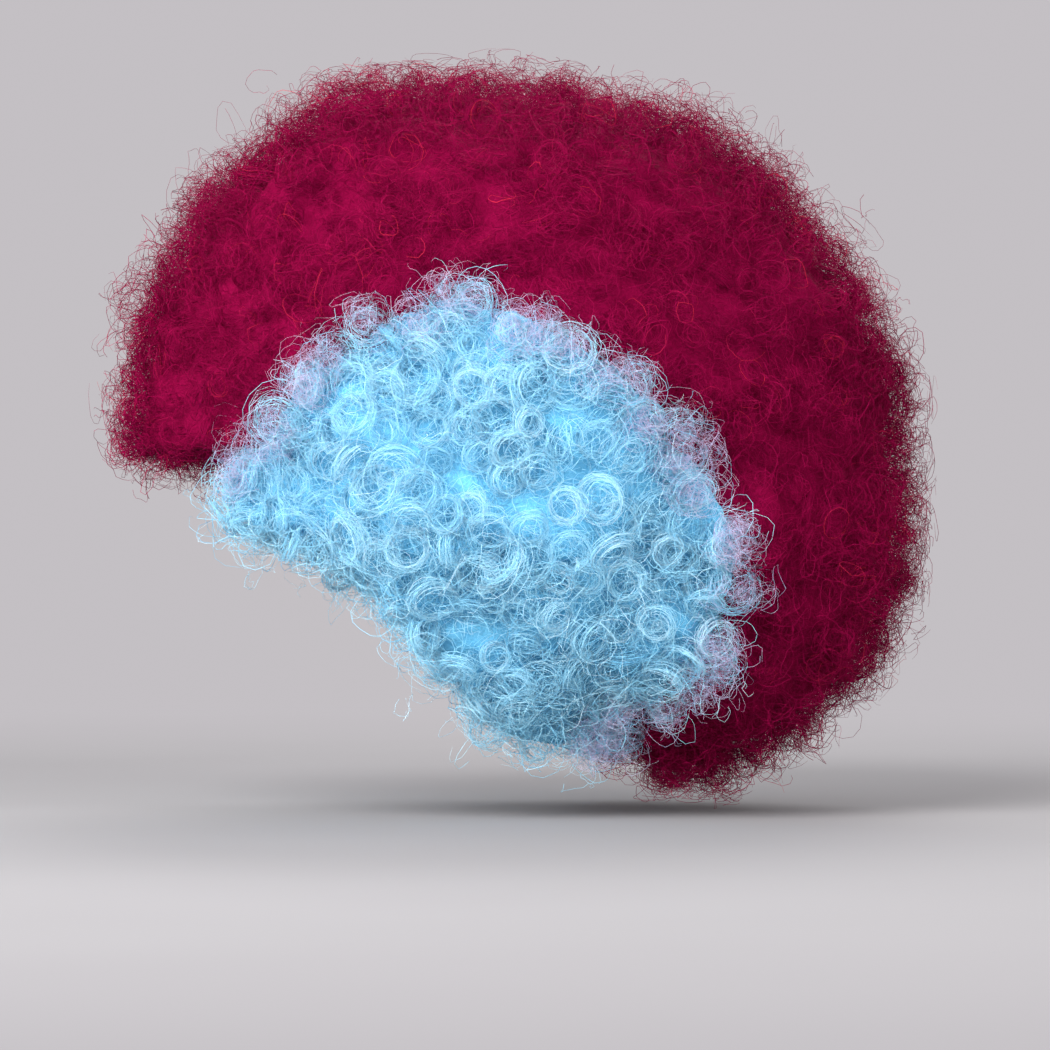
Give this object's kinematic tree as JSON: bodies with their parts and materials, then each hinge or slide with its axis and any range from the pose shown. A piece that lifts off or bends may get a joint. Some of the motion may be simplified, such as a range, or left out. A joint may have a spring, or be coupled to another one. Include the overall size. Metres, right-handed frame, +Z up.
{
  "type": "costume wig",
  "caption": "Big round curly costume wig with a dark crest and light sides on a stretch net cap with adjusters at the nape.",
  "frame": {"origin": "middle of the head seat, level with the tops of the wearer's ears", "axes": "+Z up along the wearer's head, -Y the way the wearer faces, +X to the wearer's left"},
  "size_m": [0.296, 0.322, 0.2865],
  "materials": {
    "claret_fibre": "curly synthetic fibre, deep claret",
    "blue_fibre": "curly synthetic fibre, sky blue",
    "claret_track": "sewn weft track, claret thread",
    "blue_track": "sewn weft track, blue thread",
    "stretch_net": "open stretch net, black",
    "seam_tape": "woven ribbon tape, black",
    "band_fabric": "folded woven band, black",
    "elastic": "ribbed woven elastic, black",
    "hook_plastic": "moulded nylon, black"
  },
  "bodies": {
    "cap": {"crest_curls_back": "claret_fibre", "crest_curls_crown": "claret_fibre", "crest_curls_crown_back": "claret_fibre", "crest_curls_crown_front": "claret_fibre", "crest_curls_forehead": "claret_fibre", "crest_curls_fringe": "claret_fibre", "crest_curls_nape": "claret_fibre", "crest_track_1": "claret_track", "crest_track_2": "claret_track", "crest_track_3": "claret_track", "crest_track_4": "claret_track", "crest_track_5": "claret_track", "crest_track_6": "claret_track", "crest_track_7": "claret_track", "crown_net": "stretch_net", "ear_binding_left": "elastic", "ear_binding_right": "elastic", "ear_tab_left": "band_fabric", "ear_tab_right": "band_fabric", "front_band": "band_fabric", "loop_tape_left": "seam_tape", "loop_tape_right": "seam_tape", "nape_band": "elastic", "seam_tape_left": "seam_tape", "seam_tape_right": "seam_tape", "side_curls_lower_left": "blue_fibre", "side_curls_lower_right": "blue_fibre", "side_curls_middle_left": "blue_fibre", "side_curls_middle_right": "blue_fibre", "side_curls_upper_left": "blue_fibre", "side_curls_upper_right": "blue_fibre", "side_net_left": "stretch_net", "side_net_right": "stretch_net", "side_track_lower_left": "blue_track", "side_track_lower_right": "blue_track", "side_track_middle_left": "blue_track", "side_track_middle_right": "blue_track", "side_track_upper_left": "blue_track", "side_track_upper_right": "blue_track", "strap_casing_left": "band_fabric", "strap_casing_right": "band_fabric"},
    "adjuster_left": {"adjuster_strap_left": "elastic", "adjuster_hook_left": "hook_plastic"},
    "adjuster_right": {"adjuster_strap_right": "elastic", "adjuster_hook_right": "hook_plastic"}
  },
  "joints": [
    {"name": "adjuster_left_slide", "type": "hinge", "parent": "cap", "child": "adjuster_left", "pos_m": [0, 0.022, -0.054], "axis": [0, 0, -1], "range_deg": [0, 14]},
    {"name": "adjuster_right_slide", "type": "hinge", "parent": "cap", "child": "adjuster_right", "pos_m": [0, 0.022, -0.054], "axis": [0, 0, 1], "range_deg": [0, 14]}
  ]
}
